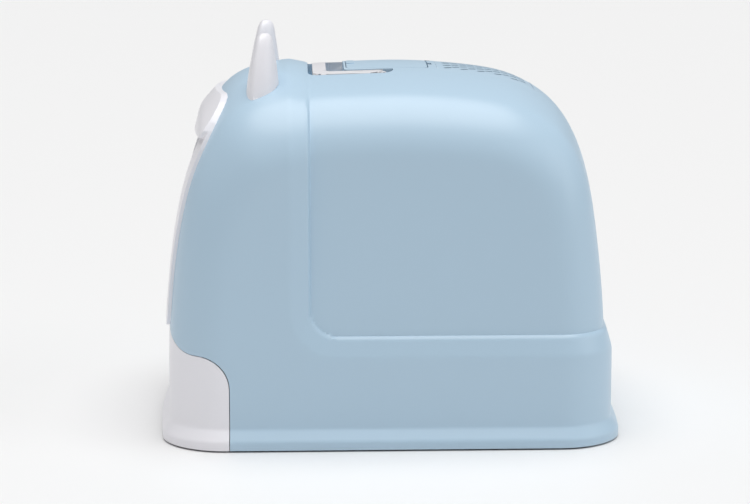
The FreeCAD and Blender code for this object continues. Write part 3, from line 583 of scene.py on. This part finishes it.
def doorway(grow=0.0):
    """Front view of the doorway, grown all round."""
    return rounded_box_outline(-104 - grow, 104 + grow, 141 - grow, 352 + grow, 34 + grow, 10 + grow)


FRONT_MOST, ROOF_MOST, SIDE_MOST = -400.0, 470.0, 260.0     # clear of the box on every side
PLANES = {"x": (1, 2, 0), "y": (0, 2, 1), "z": (0, 1, 2)}


def prism(name, outline, along, start, end):
    """An outline filled, then extruded from start to end along an axis, in millimetres."""
    across, up, depth = PLANES[along]
    deselect_all()
    bpy.ops.mesh.primitive_circle_add(vertices=len(outline), radius=1.0, fill_type="NGON")
    solid = bpy.context.object
    solid.name = solid.data.name = name
    for vertex, (a, b) in zip(solid.data.vertices, outline):
        vertex.co[across], vertex.co[up], vertex.co[depth] = a * MM, b * MM, start * MM
    bpy.ops.object.mode_set(mode="EDIT")
    bpy.ops.mesh.select_all(action="SELECT")
    reach = [0.0, 0.0, 0.0]
    reach[depth] = (end - start) * MM
    bpy.ops.mesh.extrude_region_move(TRANSFORM_OT_translate={"value": reach})
    bpy.ops.mesh.select_all(action="SELECT")
    bpy.ops.mesh.normals_make_consistent(inside=False)
    bpy.ops.object.mode_set(mode="OBJECT")
    return solid


def combine(piece, tool, how):
    """Joins, cuts or trims a piece with a tool, which is then thrown away."""
    make_active(piece)
    step = piece.modifiers.new(how.lower(), "BOOLEAN")
    step.operation, step.solver, step.object = how, "EXACT", tool
    bpy.ops.object.modifier_apply(modifier=step.name)
    bpy.data.objects.remove(tool, do_unlink=True)


def shade(piece, angle=32.0):
    make_active(piece)
    bpy.ops.object.shade_smooth_by_angle(angle=math.radians(angle))


def drawer_line(gap=0.0):
    """Side view of what goes with the drawer: in front of the seam and under it."""
    back, top, turn = -178.5 - gap, 104.0 - gap, 36.0
    return [(-400, -60), (back, -60)] + arc((back - turn, top - turn), turn, 0, 90) + [(-400, top)]


def drawer_rise(gap=0.0):
    """Front view of the seam's raised middle, which climbs to the sill in two easy curves."""
    low, rise, outer, inner, steps = 100.0, 17.0, 186.0, 134.0, 12
    shares = [i / steps for i in range(steps + 1)]
    climb = [(outer - (outer - inner) * t, 104.0 - gap + rise * (3 * t * t - 2 * t ** 3)) for t in shares]
    left = [(-x, z) for x, z in reversed(climb)]
    return [(-outer, low), (outer, low)] + climb + left


TUNNEL_WALL = 2.5
SEAM_GAP = 0.8
WELL = dict(half=70.0, front=-91.0, back=5.0, floor=383.0, turn=14.0)
ISLAND_HALF, ISLAND_FRONT = 52.0, -50.0


def well_outline():
    """Plan of the handle's recess: a U round the island under the hatch."""
    turn = WELL["turn"]
    side, front, back = WELL["half"] - turn, WELL["front"] + turn, WELL["back"] - turn
    outer = (arc((-side, front), turn, 180, 270) + arc((side, front), turn, 270, 360)
             + arc((side, back), turn, 0, 90, 6) + [(ISLAND_HALF, WELL["back"])])
    inner = (arc((ISLAND_HALF - 5, ISLAND_FRONT + 5), 5, 0, -90, 6)
             + arc((-ISLAND_HALF + 5, ISLAND_FRONT + 5), 5, 270, 180, 6))
    tail = [(-ISLAND_HALF, WELL["back"])] + arc((-side, back), turn, 90, 180, 6)
    return outer + inner + tail


def laid_on(form, along, side, run, depth):
    """Points on a form's skin, above (side, y) or in front of (side, z)."""
    still = np.zeros_like(side)
    if along == "z":
        return reach_skin(np.stack([side, run, still + 330.0], axis=1),
                          np.tile((0.0, 0.0, 1.0), (len(side), 1)), depth, 130.0, form)
    front = reach_skin(np.stack([side, still - 100.0, run], axis=1),
                       np.tile((0.0, -1.0, 0.0), (len(side), 1)), depth, 180.0, form)
    # above the crown there is no skin to reach
    front[:, 1] = np.minimum(front[:, 1], -178.0 + 0.25 * depth)
    return front


def skin_slab(name, along, low, high, over, under, cells=(40, 40), form=skin_distance, floor=None):
    """A slab that follows a form from depth over to depth under its skin, or down to a flat floor."""
    deselect_all()
    bpy.ops.mesh.primitive_grid_add(x_subdivisions=cells[0], y_subdivisions=cells[1], size=1.0)
    slab = bpy.context.object
    slab.name = slab.data.name = name
    spots = np.array([v.co for v in slab.data.vertices]) + 0.5
    side = low[0] + spots[:, 0] * (high[0] - low[0])
    run = low[1] + spots[:, 1] * (high[1] - low[1])
    slab.data.vertices.foreach_set("co", (laid_on(form, along, side, run, over) * MM).ravel())
    bpy.ops.object.mode_set(mode="EDIT")
    bpy.ops.mesh.select_all(action="SELECT")
    bpy.ops.mesh.extrude_region_move(TRANSFORM_OT_translate={"value": (0.0, 0.0, -0.001)})
    bpy.ops.object.mode_set(mode="OBJECT")
    backs = [v for v in slab.data.vertices if v.select]
    side = np.array([v.co.x for v in backs]) / MM
    run = np.array([v.co.y if along == "z" else v.co.z + 0.001 for v in backs]) / MM
    places = laid_on(form, along, side, run, under)
    for vertex, place in zip(backs, places):
        vertex.co = Vector(place) * MM
        if floor is not None:
            vertex.co["xyz".index(along)] = floor * MM
    bpy.ops.object.mode_set(mode="EDIT")
    bpy.ops.mesh.select_all(action="SELECT")
    bpy.ops.mesh.normals_make_consistent(inside=False)
    bpy.ops.object.mode_set(mode="OBJECT")
    return slab


def soften(piece, width):
    """Rolls a piece's sharp edges over."""
    make_active(piece)
    edge = piece.modifiers.new("edges", "BEVEL")
    edge.width, edge.segments = width * MM, 2
    edge.limit_method, edge.angle_limit = "ANGLE", math.radians(40.0)
    edge.use_clamp_overlap = True
    bpy.ops.object.modifier_apply(modifier="edges")


class LITTERBOX_OT_hood(bpy.types.Operator):
    """Moulds the blue hood and the white drawer front from one shell"""
    bl_idname = "litterbox.hood"
    bl_label = "Hood and drawer front"

    def execute(self, context):
        hood = moulded_shell("hood")
        front = hood.copy()
        front.data = hood.data.copy()
        front.name = front.data.name = "drawer_front_piece"
        context.scene.collection.objects.link(front)

        combine(hood, skin_slab("well_block", "z", (-73, -94), (73, 12), 1.5, 20, (16, 16), floor=380), "UNION")
        combine(hood, skin_slab("hinge_block", "z", (-38, 42), (38, 52), 1.5, 8, (6, 4), floor=396), "UNION")
        combine(hood, prism("seam", drawer_line(), "x", -SIDE_MOST, SIDE_MOST), "DIFFERENCE")
        combine(hood, prism("seam_rise", drawer_rise(), "y", FRONT_MOST, -200), "DIFFERENCE")
        combine(hood, prism("door_cut", doorway(TUNNEL_WALL + 0.2), "y", FRONT_MOST, -150), "DIFFERENCE")
        combine(hood, prism("well_cut", well_outline(), "z", WELL["floor"], ROOF_MOST), "DIFFERENCE")
        hatch = rounded_box_outline(-46.9, 46.9, -47.9, 45.8, 8, 7)
        combine(hood, prism("hatch_cut", hatch, "z", 340, ROOF_MOST), "DIFFERENCE")
        vent = rounded_box_outline(-50.0, 50.0, 55.0, 166.0, 8, 8)
        combine(hood, prism("vent_cut", vent, "z", 300, ROOF_MOST), "DIFFERENCE")
        for x in (-18.0, 18.0):
            room = rounded_box_outline(x - 6.4, x + 6.4, 41.0, 50.4, 0.8, 0.8)
            combine(hood, prism("knuckle_room", room, "z", 401.5, ROOF_MOST), "DIFFERENCE")
        shade(hood)
        settle(hood, "housing", "hood_blue", hood_plastic(), "hood_shell")

        body = prism("front_keep", drawer_line(SEAM_GAP), "x", -SIDE_MOST, SIDE_MOST)
        combine(body, prism("rise_keep", drawer_rise(SEAM_GAP), "y", FRONT_MOST, -202), "UNION")
        combine(front, body, "INTERSECT")
        pull = rounded_box_outline(-48, 48, 58, 84, 9, 9)
        combine(front, prism("pull_cut", pull, "y", FRONT_MOST, -236), "DIFFERENCE")
        shade(front)
        settle(front, "drawer", "trim_white", white_plastic(), "drawer_front")
        return {"FINISHED"}


class LITTERBOX_OT_roof(bpy.types.Operator):
    """Moulds the hatch and the slotted vent panel, and the folding handle"""
    bl_idname = "litterbox.roof"
    bl_label = "Hatch, vent and handle"

    def execute(self, context):
        lid = skin_slab("hatch_piece", "z", (-48, -49), (48, 46), 0.1, 3.0, (48, 48))
        combine(lid, prism("lid_plan", rounded_box_outline(-46, 46, -47, 44.5, 7, 6.5), "z", 330, ROOF_MOST), "INTERSECT")
        tab = skin_slab("tab", "z", (-20, -48), (20, -30), -0.8, 1.0, (20, 10))
        combine(tab, prism("tab_plan", rounded_box_outline(-17, 17, -46.4, -38, 4, 4), "z", 330, ROOF_MOST), "INTERSECT")
        combine(lid, tab, "UNION")
        soften(lid, 0.9)
        shade(lid)
        settle(lid, "hatch", "hood_blue", hood_plastic(), "top_hatch")

        panel = skin_slab("vent_piece", "z", (-52, 53), (52, 168), 0.3, 3.0, (52, 56))
        plan = rounded_box_outline(-49.7, 49.7, 55.3, 165.7, 7.7, 7.7)
        combine(panel, prism("vent_plan", plan, "z", 300, ROOF_MOST), "INTERSECT")
        rows = prism("slots", self.slot(0.0, 0.0), "z", 300, ROOF_MOST)
        for x, y in self.slot_places():
            cell = prism("slot", self.slot(x, y), "z", 300, ROOF_MOST)
            cell.select_set(True)
            rows.select_set(True)
            bpy.context.view_layer.objects.active = rows
            bpy.ops.object.join()
        combine(panel, rows, "DIFFERENCE")
        shade(panel)
        settle(panel, "housing", "hood_blue", hood_plastic(), "vent_panel")

        settle(moulded_copy("carry_handle", "handle_piece", 34.0), "handle", "handle_white",
               handle_plastic(), "carry_handle")
        return {"FINISHED"}

    def slot(self, x, y):
        """Outline of one slanted slot."""
        turn, half, radius = math.radians(35.0), 5.5 - 2.1, 2.1
        cosine, sine = math.cos(turn), math.sin(turn)
        raw = arc((0, half), radius, 0, 180, 6) + arc((0, -half), radius, 180, 360, 6)
        return [(x + a * cosine - b * sine, y + a * sine + b * cosine) for a, b in raw]

    def slot_places(self):
        """Staggered rows of slots that keep clear of the panel's rim."""
        places = []
        half, y0, y1, pitch_x, pitch_y = 43.0, 60.0, 161.0, 14.5, 9.5
        rows = int((y1 - y0) / pitch_y)
        for row in range(rows):
            y = (y0 + y1) / 2 + (row - (rows - 1) / 2) * pitch_y
            count = 6 if row % 2 == 0 else 5
            for k in range(count):
                x = (k - (count - 1) / 2) * pitch_x
                if abs(x) < half and (x, y) != (0.0, 0.0):
                    places.append((x, y))
        return places


class LITTERBOX_OT_trims(bpy.types.Operator):
    """Moulds the white ears, door frame, brow and finger pull"""
    bl_idname = "litterbox.trims"
    bl_label = "White trims"

    def execute(self, context):
        for node in ("ear_left", "ear_right"):
            settle(moulded_copy(node, node + "_piece"), "housing", "trim_white", white_plastic(), node)
        self.door_trim()
        settle(moulded_copy("pull_cup", "pull_cup_piece"), "drawer", "trim_white", white_plastic(), "pull_cup")
        return {"FINISHED"}

    def door_trim(self):
        """The frame round the doorway with the tunnel behind it, and the brow over the hinge."""
        rim = rounded_box_outline(-134, 134, 123, 379, 30, 66)
        frame_piece = skin_slab("door_frame_piece", "y", (-136, 121), (136, 381), -4.0, 0.0, (68, 65))
        combine(frame_piece, prism("frame_keep", rim, "y", FRONT_MOST, -100), "INTERSECT")
        tunnel = prism("tunnel", doorway(TUNNEL_WALL), "y", -246, -190)
        reach = skin_slab("tunnel_reach", "y", (-110, 130), (110, 360), -3.0, 0.0, (40, 40), floor=-180)
        combine(tunnel, reach, "INTERSECT")
        combine(frame_piece, tunnel, "UNION")
        combine(frame_piece, prism("door_way", doorway(), "y", FRONT_MOST, -150), "DIFFERENCE")
        shade(frame_piece)
        settle(frame_piece, "housing", "trim_white", white_plastic(), "door_frame")

        brow = skin_slab("brow_piece", "y", (-136, 320), (136, 383), 0.0, 0.0, (68, 32), brow_distance, -170)
        under = skin_slab("brow_under", "y", (-140, 316), (140, 387), -4.0, 0.0, (70, 34), floor=-150)
        lower = [p for p in rim if p[1] > 335.0]
        left = min(p[0] for p in lower)
        top = [(-left, 335.0)] + lower + [(left, 335.0)]
        combine(brow, prism("brow_keep", top, "y", FRONT_MOST, -160), "INTERSECT")
        combine(brow, under, "DIFFERENCE")
        room = [(-198.0, 333.0), (-198.0, 346.0)] + arc((-204, 346), 5.2, 30, 180, 8) + [(-213.6, 333.0)]
        combine(brow, prism("swing_room", room, "x", -104, 104), "DIFFERENCE")
        shade(brow)
        settle(brow, "housing", "trim_white", white_plastic(), "hinge_cover")


class LITTERBOX_OT_inner_parts(bpy.types.Operator):
    """Finishes the parts that keep their plain form"""
    bl_idname = "litterbox.inner_parts"
    bl_label = "Base, rails, pan and fittings"

    def execute(self, context):
        finishes = {"base_grey": base_plastic, "pan_grey": pan_plastic, "flap_clear": flap_plastic,
                    "filter_felt": felt, "foot_rubber": rubber, "steel": steel,
                    "hood_blue": hood_plastic, "trim_white": white_plastic,
                    "handle_white": handle_plastic}
        for entry in frame["record"]["subparts"]:
            node = NODES[entry["node"]]
            finish = finishes[entry["material_slot"]]()
            if not node.material_slots:
                node.data.materials.append(finish)
            for place in node.material_slots:
                place.material = finish
        return {"FINISHED"}


class LITTERBOX_OT_stage(bpy.types.Operator):
    """Sets the pale floor, the soft studio lights and the camera"""
    bl_idname = "litterbox.stage"
    bl_label = "Studio"

    def execute(self, context):
        deselect_all()
        bpy.ops.mesh.primitive_plane_add(size=60.0, location=(0.0, 0.0, 0.0))
        floor = context.object
        floor.name = "studio_floor"
        bpy.ops.object.transform_apply(location=True, rotation=True, scale=True)
        floor.data.materials.append(moulded_plastic("studio paper", colours().floor_white, gloss=0.55,
                                                    mottle=0.0, bump=0.0, edge_highlight_and_scuff=0.0))

        world = bpy.data.worlds.new("studio air")
        world.use_nodes = True
        world.node_tree.nodes["Background"].inputs["Color"].default_value = (1.0, 1.0, 1.0, 1.0)
        world.node_tree.nodes["Background"].inputs["Strength"].default_value = 0.30
        context.scene.world = world
        soft_suns = {
            "overhead_light": ((0.05, 0.02, 1.0), 52.0, 2.55),
            "rear_light": ((0.30, 1.0, 0.45), 40.0, 0.34),
        }
        for name, (source, spread, power) in soft_suns.items():
            lamp = bpy.data.lights.new(name, "SUN")
            lamp.angle, lamp.energy = math.radians(spread), power
            holder = bpy.data.objects.new(name, lamp)
            holder.location = Vector(source) * 2.0
            holder.rotation_euler = (-Vector(source)).to_track_quat("-Z", "Y").to_euler()
            context.scene.collection.objects.link(holder)

        eye = bpy.data.cameras.new("studio_camera")
        eye.lens = sizes().camera_lens
        eye.sensor_width = 36.0
        stand = bpy.data.objects.new("studio_camera", eye)
        stand.location = sizes().camera_place
        stand.rotation_euler = (math.pi / 2 - sizes().camera_pitch, 0.0,
                                math.pi / 2 - sizes().camera_yaw)
        context.scene.collection.objects.link(stand)
        context.scene.camera = stand
        context.scene.view_settings.view_transform = "Standard"
        return {"FINISHED"}


class LITTERBOX_PT_panel(bpy.types.Panel):
    """The steps that build the litter box"""
    bl_idname = "LITTERBOX_PT_panel"
    bl_label = "Litter box"
    bl_space_type = "VIEW_3D"
    bl_region_type = "UI"
    bl_category = "Litter box"

    def draw(self, context):
        for operator in OPERATORS:
            self.layout.operator(operator.bl_idname)


OPERATORS = (LITTERBOX_OT_stage, LITTERBOX_OT_inner_parts, LITTERBOX_OT_hood, LITTERBOX_OT_roof,
             LITTERBOX_OT_trims)
CLASSES = (LitterBoxColours, LitterBoxSizes, *OPERATORS, LITTERBOX_PT_panel)


def register():
    for entry in CLASSES:
        bpy.utils.register_class(entry)
    bpy.types.Scene.litter_box_colours = PointerProperty(type=LitterBoxColours)
    bpy.types.Scene.litter_box_sizes = PointerProperty(type=LitterBoxSizes)


def unregister():
    del bpy.types.Scene.litter_box_colours
    del bpy.types.Scene.litter_box_sizes
    for entry in reversed(CLASSES):
        bpy.utils.unregister_class(entry)


def main():
    register()
    for operator in OPERATORS:
        group, name = operator.bl_idname.split(".")
        getattr(getattr(bpy.ops, group), name)()


if __name__ == "__main__":
    main()
